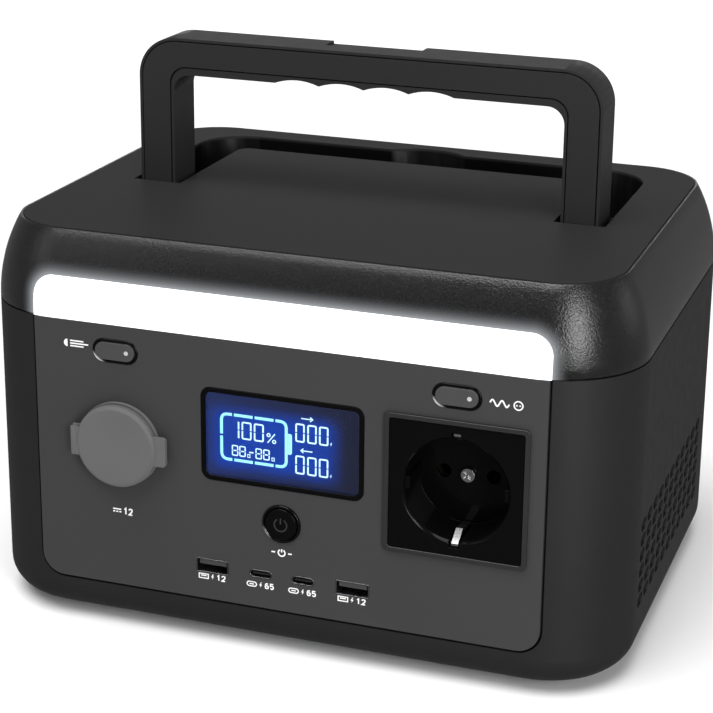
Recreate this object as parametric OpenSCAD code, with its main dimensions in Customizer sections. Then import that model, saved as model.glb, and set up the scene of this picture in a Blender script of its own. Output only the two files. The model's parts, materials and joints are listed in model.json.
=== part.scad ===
// Portable power station with a folding handle, a light bar, a display and a front panel of outlets.
// Millimetres. The origin is the middle of the footprint on the ground, z is up, the front faces -y.

/* [Case] */
// Width of the case at the seam
case_w = 258; // [240:1:300]
// Depth of the case at the seam
case_d = 196; // [180:1:240]
// Height of the lower case, from its underside to the seam
lower_h = 121.5; // [112:0.5:150]
// Height of the shoulder, from the seam to the deck
shoulder_h = 33; // [28:0.5:44]
// How far the shoulder leans in by the time it reaches the deck
shoulder_in = 9; // [6:0.5:12]
// Radius of the upright corners
corner_r = 35; // [30:0.5:40]
// Radius of the rounding under the case
bottom_r = 12; // [9:0.5:15]
// Thickness of the case walls
wall = 3; // [2.4:0.1:3.6]
// Height the feet hold the case off the ground
foot_h = 3; // [2:0.5:6]
// Diameter of each foot
foot_d = 18; // [14:0.5:24]

/* [Front panel] */
// Width of the front panel
panel_w = 201; // [190:0.5:204]
// Thickness of the front panel
panel_t = 3; // [2:0.1:4]
// Height of the panel's lower edge above the case underside
panel_low = 15.5; // [14:0.5:20]
// Radius of the panel's lower corners
panel_r = 9; // [4:0.5:14]
// Groove left open around the panel
panel_gap = 0.9; // [0.4:0.1:1.2]

/* [Light bar] */
// Width of the light bar
bar_w = 202; // [160:0.5:204]
// Height of the light bar above the seam
bar_h = 16.2; // [10:0.2:20]
// Radius of the light bar's upper corners
bar_r = 8; // [3:0.5:9]

/* [Display] */
// Width of the display bezel
lcd_w = 64.5; // [50:0.5:70]
// Height of the display bezel
lcd_h = 37; // [28:0.5:40]
// Width of the bezel's border
lcd_border = 1.9; // [1.2:0.1:3]
// Height of the display's middle above the case underside
lcd_up = 83.7; // [80:0.1:86]

/* [Buttons] */
// Width of the light and outlet buttons
key_w = 16; // [12:0.2:20]
// Height of the light and outlet buttons
key_h = 6.8; // [5:0.2:8]
// Height of those buttons above the case underside
key_up = 111.3; // [110.5:0.1:112]
// Diameter of the power button
power_d = 12.6; // [9:0.2:15]
// Height of the power button above the case underside
power_up = 51.4; // [48:0.1:54]
// How far a button can be pressed
key_travel = 0.8; // [0.4:0.1:1]
// Gap around each button
key_gap = 0.35; // [0.2:0.05:0.6]

/* [Ports] */
// Height of the USB row above the case underside
usb_up = 29.4; // [26:0.1:33]
// Distance of the wide USB ports from the middle
usb_a_x = 28.3; // [24:0.1:32]
// Distance of the small USB ports from the middle
usb_c_x = 8.5; // [7:0.1:12]

/* [Outlet] */
// Distance of the mains outlet from the middle
outlet_x = 67.5; // [64:0.5:68]
// Height of the mains outlet above the case underside
outlet_up = 75.2; // [72:0.1:76]
// Outer size of the outlet frame
frame_w = 54.5; // [54:0.1:56]
// Size of the outlet insert
insert_w = 50.5; // [50:0.1:51]

/* [Car socket] */
// Distance of the round socket from the middle
dc_x = 65.7; // [60:0.1:70]
// Height of the round socket above the case underside
dc_up = 74.7; // [70:0.1:76]
// Diameter of its rubber cap
cap_d = 32.6; // [31:0.2:33.2]
// Angle the cap can be opened
cap_open = 150; // [90:5:160]

/* [Handle] */
// Width of the handle
handle_w = 192; // [170:0.5:198]
// Height of the handle's top above the deck
handle_up = 59.5; // [50:0.5:66]
// Depth of the handle, front to back
handle_t = 20; // [18:0.5:22]
// Width of each leg
leg_w = 15; // [13:0.5:17]
// Height of the grip
grip_h = 14.8; // [12:0.2:18]
// Outer corner radius of the handle
handle_r = 16; // [10:0.5:18]
// Distance of the handle's front face in front of the case middle
handle_y = 11; // [9:0.5:16]
// Diameter of the pivot pins
pin_d = 6; // [5:0.1:7]

/* [Vents] */
// Columns of slots on each side
vent_cols = 11; // [7:1:11]
// Rows of slots on each side
vent_rows = 6; // [4:1:6]
// Column spacing
vent_px = 10.8; // [9.6:0.1:11]
// Row spacing
vent_pz = 6.2; // [5.6:0.1:6.4]
// Length of a slot
vent_w = 8.6; // [6:0.1:8.8]
// Height of a slot
vent_h = 4.7; // [3:0.1:4.9]

/* [Hidden] */
$fn = 64;
eps = 0.01;
clear = 0.15;
run = 0.06;
front = -case_d / 2;
base_z = foot_h;
seam_z = base_z + lower_h;
deck_z = seam_z + shoulder_h;
lean_r = (shoulder_h * shoulder_h + shoulder_in * shoulder_in) / (2 * shoulder_in);
panel_top = lower_h - clear;
panel_h = panel_top - panel_low;
panel_mid = base_z + panel_low + panel_h / 2;
lcd_z = base_z + lcd_up;
key_x = 67;
key_z = base_z + key_up;
power_z = base_z + power_up;
usb_z = base_z + usb_up;
outlet_z = base_z + outlet_up;
dc_z = base_z + dc_up;
key_ring = 0.9;
// how far the socket cap and the charging inlet stand out of the case
stand_out = 5.4;
hinge_x = -dc_x - cap_d / 2 - 1.6;
hinge_y = front - 3.1;
// deck plate
deck_t = 2.5;
deck_gap = 0.3;
deck_in = shoulder_in + 1;
ledge_in = shoulder_in + 4.5;
// handle and its pocket
pivot_front = handle_t - 7.5;
pivot_y = -handle_y + pivot_front;
pivot_z = deck_z - pivot_front;
heel_r = handle_t - pivot_front;
handle_top = deck_z + handle_up;
reach = handle_top - pivot_z;
leg_x = handle_w / 2 - leg_w / 2;
grip_low = handle_top - grip_h;
pocket_w = handle_w + 6;
pocket_front = -handle_y - 1;
pocket_back = pivot_y + reach + 2;
pocket_floor = pivot_z - heel_r - 1;
pocket_r = handle_r + 4;
pocket_wall = 2;
scoop_back = case_d / 2 - ledge_in - clear - 2.4;
scoop_r = 25;
island_w = handle_w - 2 * leg_w - 5;
island_back = pivot_y + (grip_low - pivot_z) - 5;
boss_len = 6;
pin_in = pocket_w / 2 + pocket_wall + boss_len - 1;
pin_tip = handle_w / 2 - 11.5;
// vents and fans
vent_z = base_z + 39.5;
vent_y = -4;
fan_w = 40;
fan_t = 10;
fan_x = case_w / 2 - wall - 3 - fan_t;
fan_ys = [vent_y - 22, vent_y + 22];
// posts and feet
post_x = case_w / 2 - 19;
post_y = case_d / 2 - 19;
foot_x = case_w / 2 - 34;
foot_y = case_d / 2 - 32;
// battery
cell_d = 32.2;
cell_h = 70;
cell_p = 33.6;
cell_nx = 4;
cell_ny = 3;
pack_y = 26;
tray_w = cell_nx * cell_p + 4;
tray_d = cell_ny * cell_p + 4;
tray_z = base_z + wall;
cell_z = tray_z + 3;
lid_z = cell_z + cell_h - 8;
lid_top = cell_z + cell_h + 1.6;
board_z = lid_top + 18;

// ---------------------------------------------------------------- shared shapes

// A rectangle with round corners, centred
module rounded(w, h, r)
{
    square([w - 2 * r, h], center = true);
    square([w, h - 2 * r], center = true);
    for (sx = [-1, 1], sy = [-1, 1])
        translate([sx * (w / 2 - r), sy * (h / 2 - r)])
            circle(r = r);
}

// A bar with two half-round ends, centred
module stadium(w, h)
{
    square([w - h, h], center = true);
    for (s = [-1, 1])
        translate([s * (w - h) / 2, 0])
            circle(d = h);
}

// Stands a flat shape up facing the front: it fills y from y0 back to y0 + t
module facing(x, y0, z, t)
{
    translate([x, y0 + t, z])
        rotate([90, 0, 0])
            linear_extrude(height = t)
                children();
}

// A round rod along x from x0 to x1
module rod_x(x0, x1, y, z, d)
{
    translate([min(x0, x1), y, z])
        rotate([0, 90, 0])
            cylinder(d = d, h = abs(x1 - x0));
}

// A round rod along y from y0 to y1
module rod_y(x, y0, y1, z, d)
{
    translate([x, y1, z])
        rotate([90, 0, 0])
            cylinder(d = d, h = y1 - y0);
}

// Carries an outline (distance out from the corner centre, height) round a rounded rectangle
module swept(w, d, r)
{
    for (sx = [0, 1], sy = [0, 1])
        mirror([sx, 0, 0])
            mirror([0, sy, 0])
                translate([w / 2 - r, d / 2 - r, 0])
                    rotate_extrude(angle = 90)
                        children();
    for (s = [0, 1])
        mirror([s, 0, 0])
            translate([w / 2 - r, d / 2 - r, 0])
                rotate([90, 0, 0])
                    linear_extrude(height = d - 2 * r)
                        children();
    for (s = [0, 1])
        mirror([0, s, 0])
            rotate([0, 0, 90])
                translate([d / 2 - r, w / 2 - r, 0])
                    rotate([90, 0, 0])
                        linear_extrude(height = w - 2 * r)
                            children();
}

// Upright outline with a rounded foot
module tub_outline(r, rb, z0, z1)
{
    translate([0, z0 + rb])
        square([r, z1 - z0 - rb]);
    translate([0, z0])
        square([r - rb, rb]);
    intersection()
    {
        translate([r - rb, z0 + rb])
            circle(r = rb);
        translate([r - rb, z0])
            square([rb, rb]);
    }
}

// A solid tub: rounded corners, rounded underside
module tub(w, d, r, rb, z0, z1)
{
    swept(w, d, r)
        tub_outline(r, rb, z0, z1);
    translate([-w / 2 + r, -d / 2 + r, z0])
        cube([w - 2 * r, d - 2 * r, z1 - z0]);
}

// Outline of the leaning shoulder, t in from its outer surface
module lean_outline(t, h)
{
    intersection()
    {
        translate([corner_r - lean_r, seam_z])
            circle(r = lean_r - t);
        translate([0, seam_z])
            square([corner_r, h]);
    }
}

// Solid shoulder, t in from its outer surface, h high above the seam
module lean_solid(t, h)
{
    swept(case_w, case_d, corner_r)
        lean_outline(t, h);
    translate([-case_w / 2 + corner_r, -case_d / 2 + corner_r, seam_z])
        cube([case_w - 2 * corner_r, case_d - 2 * corner_r, h]);
}

// A slab with round upright corners, centred
module slab(w, d, r, z0, z1)
{
    translate([0, 0, z0])
        linear_extrude(height = z1 - z0)
            rounded(w, d, r);
}

// ---------------------------------------------------------------- case

// Panel outline: square top, round lower corners, widened by g
module panel_outline(g)
{
    w = panel_w + 2 * g;
    h = panel_h + g;
    r = panel_r + g;
    translate([-w / 2, -panel_h / 2 - g + r])
        square([w, h - r]);
    translate([-w / 2 + r, -panel_h / 2 - g])
        square([w - 2 * r, r]);
    for (s = [-1, 1])
        intersection()
        {
            translate([s * (w / 2 - r), -panel_h / 2 - g + r])
                circle(r = r);
            translate([s * (w / 2 - r / 2) - r / 2, -panel_h / 2 - g])
                square([r, r]);
        }
}

module vent_slots(x0)
{
    for (i = [0 : vent_cols - 1], j = [0 : vent_rows - 1])
        translate([x0, vent_y + (i - (vent_cols - 1) / 2) * vent_px, vent_z + (j - (vent_rows - 1) / 2) * vent_pz])
            rotate([90, 0, 90])
                linear_extrude(height = wall + 2, center = true)
                    stadium(vent_w, vent_h);
}

module lower_case()
{
    color([0.18, 0.18, 0.19])
        difference()
        {
            union()
            {
                difference()
                {
                    tub(case_w, case_d, corner_r, bottom_r, base_z, seam_z);
                    tub(case_w - 2 * wall, case_d - 2 * wall, corner_r - wall, bottom_r - wall,
                        base_z + wall, seam_z + 1);
                }
                // rim the panel rests on
                intersection()
                {
                    tub(case_w - wall, case_d - wall, corner_r - wall / 2, bottom_r - wall / 2,
                        base_z + wall / 2, seam_z);
                    difference()
                    {
                        facing(0, front + panel_t, panel_mid, 3)
                            panel_outline(3);
                        facing(0, front, panel_mid, 8)
                            translate([0, 2])
                                square([panel_w - 8, panel_h - 6], center = true);
                    }
                }
                // corner posts for the long screws
                for (sx = [-1, 1], sy = [-1, 1])
                    translate([sx * post_x, sy * post_y, base_z + wall - eps])
                        cylinder(d = 10, h = lower_h - wall + eps);
                // bosses over the feet
                for (sx = [-1, 1], sy = [-1, 1])
                    translate([sx * foot_x, sy * foot_y, base_z + wall - eps])
                        cylinder(d = 9, h = 5);
                // collars the fans stand against
                for (y = fan_ys)
                    translate([case_w / 2 - wall - 3, y - 20.5, vent_z - 20.5])
                        cube([3.5, 41, 41]);
                // pads under the battery tray
                for (sx = [-1, 1])
                    translate([sx * (tray_w / 2 + 1.2) - 1, pack_y - 20, base_z + wall - eps])
                        cube([2, 40, 9]);
            }
            facing(0, front - 5, panel_mid, 5 + panel_t)
                union()
                {
                    panel_outline(panel_gap);
                    translate([-panel_w / 2 - panel_gap, panel_h / 2 - 1])
                        square([panel_w + 2 * panel_gap, 4]);
                }
            // the window inside the rim goes through the whole wall
            facing(0, front - 1, panel_mid, wall + 1)
                translate([0, 2])
                    square([panel_w - 8, panel_h - 6], center = true);
            vent_slots(case_w / 2 - wall / 2);
            vent_slots(-case_w / 2 + wall / 2);
            // air passages through the fan collar
            for (y = fan_ys)
                rod_x(case_w / 2 - wall - 4, case_w / 2 - wall, y, vent_z, 37.6);
            // screw ways
            for (sx = [-1, 1], sy = [-1, 1])
                translate([sx * post_x, sy * post_y, base_z - 1])
                {
                    cylinder(d = 3.4, h = lower_h + 2);
                    cylinder(d = 6.6, h = lower_h - 14);
                }
            // sockets for the feet
            for (sx = [-1, 1], sy = [-1, 1])
                translate([sx * foot_x, sy * foot_y, base_z - 1])
                {
                    cylinder(d = foot_d + 2 * clear, h = 2);
                    cylinder(d = 2.9, h = 8.5);
                }
            // charging inlet at the back
            rod_y(0, case_d / 2 - wall - 1, case_d / 2 + 1, outlet_z, 16 + 2 * clear);
        }
}

// Thin groove that shows where the two halves of the case meet
module seam_groove()
{
    difference()
    {
        slab(case_w + 4, case_d + 4, corner_r + 2, seam_z - 1, seam_z + 0.8);
        slab(case_w - 2.4, case_d - 2.4, corner_r - 1.2, seam_z - 2, seam_z + 1);
    }
}

module upper_shell()
{
    color([0.15, 0.15, 0.16])
        difference()
        {
            union()
            {
                difference()
                {
                    lean_solid(0, shoulder_h - 0.3);
                    lean_solid(wall, shoulder_h - 5);
                    slab(case_w - 2 * ledge_in, case_d - 2 * ledge_in, corner_r - ledge_in, seam_z - 1, deck_z + 1);
                }
                // posts that take the long screws
                for (sx = [-1, 1], sy = [-1, 1])
                    translate([sx * post_x, sy * post_y, seam_z])
                        cylinder(d = 10, h = shoulder_h - 4);
                // ribs behind the light board
                for (x = [-72, -24, 24, 72])
                    translate([x - 1, front + 10.6, seam_z + 2])
                        cube([2, 7, shoulder_h - 6]);
            }
            slab(case_w - 2 * (deck_in - deck_gap), case_d - 2 * (deck_in - deck_gap),
                corner_r - deck_in + deck_gap, deck_z - deck_t, deck_z + 1);
            facing(0, front - 5, seam_z, 12)
                bar_window(clear);
            for (sx = [-1, 1], sy = [-1, 1])
                translate([sx * post_x, sy * post_y, seam_z - 1])
                    cylinder(d = 2.9, h = 16);
            seam_groove();
        }
}

// Window of the light bar: square foot, round upper corners
module bar_window(g)
{
    w = bar_w + 2 * g;
    h = bar_h + g;
    r = bar_r + g;
    translate([-w / 2, -1])
        square([w, h + 1 - r]);
    translate([-w / 2 + r, -1])
        square([w - 2 * r, h + 1]);
    for (s = [-1, 1])
        intersection()
        {
            translate([s * (w / 2 - r), h - r])
                circle(r = r);
            translate([s * (w / 2 - r / 2) - r / 2, h - r])
                square([r, r]);
        }
}

// The front of the shoulder between two depths
module front_layer(t0, t1, h)
{
    difference()
    {
        lean_outline(t0, h);
        lean_outline(t1, h + 1);
    }
}

module front_band(t0, t1, h)
{
    for (s = [0, 1])
        mirror([s, 0, 0])
            mirror([0, 1, 0])
                translate([case_w / 2 - corner_r, case_d / 2 - corner_r, 0])
                    rotate_extrude(angle = 90)
                        front_layer(t0, t1, h);
    mirror([0, 1, 0])
        rotate([0, 0, 90])
            translate([case_d / 2 - corner_r, case_w / 2 - corner_r, 0])
                rotate([90, 0, 0])
                    linear_extrude(height = case_w - 2 * corner_r)
                        front_layer(t0, t1, h);
}

module light_lens()
{
    color([0.95, 0.97, 1])
    {
        intersection()
        {
            front_band(0, wall + 1.4, shoulder_h - 8);
            translate([0, 0, clear])
                facing(0, front - 5, seam_z, 30)
                    intersection()
                    {
                        bar_window(0);
                        translate([-bar_w / 2 - 1, 0])
                            square([bar_w + 2, bar_h]);
                    }
        }
        intersection()
        {
            front_band(wall + 0.1, wall + 1.4, shoulder_h - 8);
            translate([0, 0, clear])
                facing(0, front - 5, seam_z, 30)
                    translate([-bar_w / 2 - 3, 0])
                        square([bar_w + 6, bar_h + 3]);
        }
    }
}

module light_board()
{
    color([0.85, 0.85, 0.82])
        translate([-97, front + 9, seam_z + 2])
            cube([194, 1.6, 13]);
}

module light_leds()
{
    color([1, 1, 0.9])
        for (i = [-8 : 8])
            translate([i * 11 - 2, front + 8, seam_z + 6.5])
                cube([4, 1, 3]);
}

// ---------------------------------------------------------------- deck and pocket

// Outer edge of the handle pocket, widened by g
module pocket_edge(g)
{
    w = pocket_w / 2 + g;
    r = pocket_r + g;
    translate([-w, pocket_front - g])
        square([2 * w, pocket_back - pocket_r - pocket_front + g]);
    translate([-w + r, pocket_front - g])
        square([2 * w - 2 * r, pocket_back - pocket_front + 2 * g]);
    for (s = [-1, 1])
        intersection()
        {
            translate([s * (w - r), pocket_back - pocket_r])
                circle(r = r);
            translate([s * (w - r / 2) - r / 2, pocket_back - pocket_r])
                square([r, r]);
        }
}

// The island the handle folds around, widened by g
module island_edge(g)
{
    w = island_w / 2 + g;
    r = 5;
    translate([-w, pocket_front - 10])
        square([2 * w, island_back + g - r - pocket_front + 10]);
    translate([-w + r, pocket_front - 10])
        square([2 * w - 2 * r, island_back + g - pocket_front + 10]);
    for (s = [-1, 1])
        intersection()
        {
            translate([s * (w - r), island_back + g - r])
                circle(r = r);
            translate([s * (w - r / 2) - r / 2, island_back + g - r])
                square([r, r]);
        }
}

module pocket_channel(grow)
{
    difference()
    {
        pocket_edge(grow);
        island_edge(-grow);
    }
}

module deck_plate()
{
    color([0.2, 0.2, 0.21])
        difference()
        {
            union()
            {
                slab(case_w - 2 * deck_in, case_d - 2 * deck_in, corner_r - deck_in, deck_z - deck_t, deck_z);
                translate([0, 0, pocket_floor - 2])
                    linear_extrude(height = deck_z - deck_t - pocket_floor + 2 + eps)
                        pocket_channel(pocket_wall);
                // bosses for the pivot pins
                for (s = [-1, 1])
                    rod_x(s * (pocket_w / 2 + 0.5), s * (pocket_w / 2 + pocket_wall + boss_len),
                        pivot_y, pivot_z, 12);
                // body under the finger scoop
                translate([-22, pocket_back + 0.5, pocket_floor - 2])
                    cube([44, case_d / 2 - ledge_in - clear - pocket_back - 0.5, deck_z - pocket_floor]);
            }
            translate([0, 0, pocket_floor])
                linear_extrude(height = deck_z - pocket_floor + 1)
                    pocket_channel(0);
            for (s = [-1, 1])
                rod_x(s * (pocket_w / 2 - 1), s * (pocket_w / 2 + pocket_wall + boss_len + 1),
                    pivot_y, pivot_z, pin_d + 0.04);
            // finger scoop behind the grip
            intersection()
            {
                translate([0, scoop_back - scoop_r, pocket_floor])
                    cylinder(r = scoop_r, h = deck_z - pocket_floor + 1);
                translate([-scoop_r, pocket_back - 3, pocket_floor])
                    cube([2 * scoop_r, scoop_r, deck_z - pocket_floor + 1]);
            }
        }
}

// ---------------------------------------------------------------- front panel

module key_hole(g)
{
    stadium(key_w + 2 * g, key_h + 2 * g);
}

module front_panel()
{
    color([0.27, 0.27, 0.28])
        difference()
        {
            facing(0, front, panel_mid, panel_t)
                panel_outline(0);
            facing(0, front - 1, lcd_z, panel_t + 2)
                rounded(lcd_w + 2 * clear, lcd_h + 2 * clear, 4 + clear);
            for (s = [-1, 1])
                facing(s * key_x, front - 1, key_z, panel_t + 2)
                    key_hole(key_gap + key_ring + clear);
            rod_y(0, front - 1, front + panel_t + 1, power_z, power_d + 2 * (key_gap + key_ring + clear));
            rod_y(-dc_x, front - 1, front + panel_t + 1, dc_z, 25 + 2 * clear);
            facing(outlet_x, front - 1, outlet_z, panel_t + 2)
                rounded(frame_w - 2 + 2 * clear, frame_w - 2 + 2 * clear, 1);
            for (s = [-1, 1])
            {
                facing(s * usb_a_x, front - 1, usb_z, panel_t + 2)
                    rounded(13.1 + 2 * clear, 5.7 + 2 * clear, 0.5);
                facing(s * usb_c_x, front - 1, usb_z, panel_t + 2)
                    stadium(8.94 + 2 * clear, 3.26 + 2 * clear);
            }
        }
}

module lcd_bezel()
{
    color([0.02, 0.02, 0.02])
        difference()
        {
            facing(0, front - 0.3, lcd_z, panel_t + 1.3)
                rounded(lcd_w, lcd_h, 4);
            facing(0, front - 1, lcd_z, panel_t + 3)
                rounded(lcd_w - 2 * lcd_border, lcd_h - 2 * lcd_border, 4 - lcd_border);
        }
}

module lcd_window()
{
    color([0.6, 0.7, 0.9, 0.4])
        facing(0, front - 0.1, lcd_z, 1.1)
            rounded(lcd_w - 2 * lcd_border - 2 * clear, lcd_h - 2 * lcd_border - 2 * clear, 4 - lcd_border);
}

module lcd_screen()
{
    color([0.05, 0.15, 0.8])
        facing(0, front + 1.2, lcd_z, 11.8)
            rounded(lcd_w - 2 * lcd_border - 2 * clear, lcd_h - 2 * lcd_border - 2 * clear, 4 - lcd_border);
}

module key_bezel(x)
{
    difference()
    {
        union()
        {
            facing(x, front - 0.3, key_z, panel_t + 0.3)
                key_hole(key_gap + key_ring);
            facing(x, front + panel_t, key_z, 1.5)
                key_hole(key_gap + key_ring + 1.5);
        }
        facing(x, front - 1, key_z, panel_t + 4)
            key_hole(key_gap);
    }
}

module led_bezel()
{
    color([0.1, 0.1, 0.1])
        key_bezel(-key_x);
}

module ac_bezel()
{
    color([0.1, 0.1, 0.1])
        key_bezel(key_x);
}

module power_bezel()
{
    color([0.75, 0.75, 0.78])
        difference()
        {
            union()
            {
                rod_y(0, front - 0.8, front + panel_t, power_z, power_d + 2 * (key_gap + key_ring));
                rod_y(0, front + panel_t, front + panel_t + 1.5, power_z, power_d + 2 * (key_gap + key_ring) + 3);
            }
            rod_y(0, front - 2, front + panel_t + 2, power_z, power_d + 2 * key_gap);
        }
}

// Button cap with its stem; the light pipe sits near the right end
module key_cap(x)
{
    difference()
    {
        union()
        {
            facing(x, front - 0.9, key_z, 4.2)
                key_hole(0);
            rod_y(x, front + 3.2, front + 7, key_z, 4);
        }
        rod_y(x + key_w / 2 - 3.2, front - 2, front + 4, key_z, 1.8);
    }
}

module key_light(x)
{
    rod_y(x + key_w / 2 - 3.2, front - 0.85, front + 3.2, key_z, 1.7);
}

module led_button()
{
    color([0.22, 0.22, 0.23])
        key_cap(-key_x);
}

module led_indicator()
{
    color([0.9, 0.9, 0.9])
        key_light(-key_x);
}

module ac_button()
{
    color([0.22, 0.22, 0.23])
        key_cap(key_x);
}

module ac_indicator()
{
    color([0.9, 0.9, 0.9])
        key_light(key_x);
}

module power_button()
{
    color([0.12, 0.12, 0.13])
    {
        rod_y(0, front - 1.2, front + 3.2, power_z, power_d);
        rod_y(0, front + 3.1, front + 7, power_z, 4);
    }
}

module switches()
{
    color([0.1, 0.1, 0.1])
        for (p = [[-key_x, key_z], [key_x, key_z], [0, power_z]])
            translate([p[0] - 4, front + 7.2 + key_travel, p[1] - 4])
                cube([8, 5.8 - key_travel, 8]);
}

// Carrier board behind the panel
module front_board()
{
    color([0.05, 0.3, 0.12])
        difference()
        {
            translate([-80, front + 13, base_z + panel_low + 6])
                cube([160, 1.6, panel_h - 9]);
            facing(outlet_x, front + 12, outlet_z, 4)
                square([48, 48], center = true);
            rod_y(-dc_x, front + 12, front + 16, dc_z, 29);
            for (s = [-1, 1])
            {
                facing(s * usb_a_x, front + 12, usb_z, 4)
                    square([13.5, 6.1], center = true);
            }
        }
}

// ---------------------------------------------------------------- USB ports

module usb_a_shell(x)
{
    difference()
    {
        facing(x, front - 0.2, usb_z, 14.6)
            square([13.1, 5.7], center = true);
        facing(x, front - 1, usb_z, 15.1)
            square([12.5, 5.12], center = true);
    }
}

module usb_a_tongue(x)
{
    facing(x, front + 0.8, usb_z + 1.1, 13.1)
        square([11.1, 1.84], center = true);
    facing(x, front + 11, usb_z, 2.9)
        square([12.3, 4.9], center = true);
}

module usb_a1_shell()
{
    color([0.7, 0.7, 0.72])
        usb_a_shell(-usb_a_x);
}

module usb_a1_tongue()
{
    color([0.9, 0.9, 0.9])
        usb_a_tongue(-usb_a_x);
}

module usb_a2_shell()
{
    color([0.7, 0.7, 0.72])
        usb_a_shell(usb_a_x);
}

module usb_a2_tongue()
{
    color([0.9, 0.9, 0.9])
        usb_a_tongue(usb_a_x);
}

module usb_c_shell(x)
{
    difference()
    {
        facing(x, front - 0.1, usb_z, 13.1)
            stadium(8.94, 3.26);
        facing(x, front - 1, usb_z, 13.3)
            stadium(8.34, 2.56);
    }
}

module usb_c_tongue(x)
{
    facing(x, front + 0.6, usb_z, 11.7)
        square([6.69, 0.7], center = true);
    facing(x, front + 9, usb_z, 3.3)
        stadium(8.2, 2.42);
}

module usb_c1_shell()
{
    color([0.7, 0.7, 0.72])
        usb_c_shell(-usb_c_x);
}

module usb_c1_tongue()
{
    color([0.15, 0.15, 0.15])
        usb_c_tongue(-usb_c_x);
}

module usb_c2_shell()
{
    color([0.7, 0.7, 0.72])
        usb_c_shell(usb_c_x);
}

module usb_c2_tongue()
{
    color([0.15, 0.15, 0.15])
        usb_c_tongue(usb_c_x);
}

// ---------------------------------------------------------------- round 12 V socket

module dc_socket()
{
    color([0.08, 0.08, 0.08])
        difference()
        {
            union()
            {
                rod_y(-dc_x, front - 1.6, front, dc_z, 27);
                rod_y(-dc_x, front - 2.4, front - 1.6, dc_z, 30);
                rod_y(-dc_x, front, front + 40, dc_z, 25);
            }
            rod_y(-dc_x, front - 3, front + 37, dc_z, 21.4);
        }
}

module dc_contact()
{
    color([0.8, 0.8, 0.8])
    {
        difference()
        {
            rod_y(-dc_x, front + 8, front + 30, dc_z, 21.3);
            rod_y(-dc_x, front + 7, front + 31, dc_z, 20.7);
        }
        rod_y(-dc_x, front + 34, front + 37, dc_z, 7);
    }
}

module dc_tether()
{
    color([0.35, 0.35, 0.36])
        difference()
        {
            union()
            {
                rod_y(-dc_x, front - 1.4, front, dc_z, 33.4);
                facing(hinge_x + 1, front - 1.4, dc_z, 1.4)
                    square([5.2, 11.4], center = true);
            }
            rod_y(-dc_x, front - 3, front + 1, dc_z, 27.4);
        }
}

module dc_cap()
{
    color([0.42, 0.42, 0.43])
    {
        rod_y(-dc_x, front - 4.4, front - 2.6, dc_z, cap_d);
        translate([-dc_x, front - 4.4 + eps, dc_z])
            rotate([90, 0, 0])
                cylinder(d1 = cap_d, d2 = cap_d - 2.6, h = stand_out - 4.4 + eps);
        rod_y(-dc_x, front - 2.7, front + 1.6, dc_z, 19.4);
        // pull tab
        facing(-dc_x + cap_d / 2 - 0.8, front - 4.2, dc_z, 1.6)
            rounded(10, 11.6, 1.5);
        // strap and knuckle
        facing(hinge_x, front - 4.3, dc_z, 1.6)
            translate([0, -5.5])
                square([-dc_x - cap_d / 2 + 2 - hinge_x, 11]);
        translate([hinge_x, hinge_y, dc_z - 5.5])
            cylinder(d = 2.8, h = 11);
    }
}

// ---------------------------------------------------------------- mains outlet

module outlet_frame()
{
    color([0.1, 0.1, 0.1])
        difference()
        {
            union()
            {
                facing(outlet_x, front - 1.4, outlet_z, 1.4)
                    rounded(frame_w, frame_w, 2);
                facing(outlet_x, front, outlet_z, 5)
                    rounded(frame_w - 2, frame_w - 2, 1);
            }
            facing(outlet_x, front - 2, outlet_z, 8)
                rounded(insert_w + 2 * clear, insert_w + 2 * clear, 1);
        }
}

module clip_slots(x)
{
    for (s = [-1, 1])
        facing(x, front - 2, outlet_z + s * 19.6, 18.4)
            square([4, 5.4], center = true);
}

module outlet_insert()
{
    color([0.03, 0.03, 0.03])
        difference()
        {
            union()
            {
                facing(outlet_x, front - 0.9, outlet_z, 5.9)
                    rounded(insert_w, insert_w, 1);
                rod_y(outlet_x, front + 4.9, front + 19, outlet_z, 46.5);
                facing(outlet_x, front + 18, outlet_z, 20.5)
                    square([36, 22], center = true);
            }
            rod_y(outlet_x, front - 2, front + 16.6, outlet_z, 39.5);
            // eased mouth
            translate([outlet_x, front - 0.9, outlet_z])
                rotate([-90, 0, 0])
                    translate([0, 0, -eps])
                        cylinder(d1 = 41.9, d2 = 39.5, h = 1.2);
            clip_slots(outlet_x);
            for (s = [-1, 1])
            {
                rod_y(outlet_x + s * 9.5, front + 16, front + 20, outlet_z, 5.3);
                rod_y(outlet_x + s * 9.5, front + 19, front + 40, outlet_z, 8.1);
            }
            rod_y(outlet_x, front + 16, front + 26, outlet_z, 3.1);
        }
    // side guides of the recess
    color([0.03, 0.03, 0.03])
        for (s = [-1, 1])
            intersection()
            {
                rod_y(outlet_x, front + 1.2, front + 16.7, outlet_z, 39.6);
                translate([outlet_x + s * 18.95 - 1.05, front + 1.2, outlet_z - 2.4])
                    cube([2.1, 15.5, 4.8]);
            }
}

module outlet_clips()
{
    color([0.85, 0.85, 0.86])
        for (s = [0, 1])
            translate([outlet_x - 1.4, 0, outlet_z])
                mirror([0, 0, s])
                    rotate([90, 0, 90])
                        linear_extrude(height = 2.8)
                            polygon([[front, 21.9], [front + 1, 21.9], [front + 6, 18], [front + 16, 19.4],
                                [front + 16, 18.6], [front + 6, 17.1], [front, 20.9]]);
}

module outlet_screw()
{
    color([0.8, 0.8, 0.82])
        difference()
        {
            union()
            {
                rod_y(outlet_x, front + 14.8, front + 16.6, outlet_z, 5.4);
                rod_y(outlet_x, front + 16.5, front + 25.5, outlet_z, 3);
            }
            for (a = [0, 90])
                translate([outlet_x, front + 15, outlet_z])
                    rotate([0, a + 45, 0])
                        cube([3.6, 1.2, 0.8], center = true);
        }
}

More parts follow.
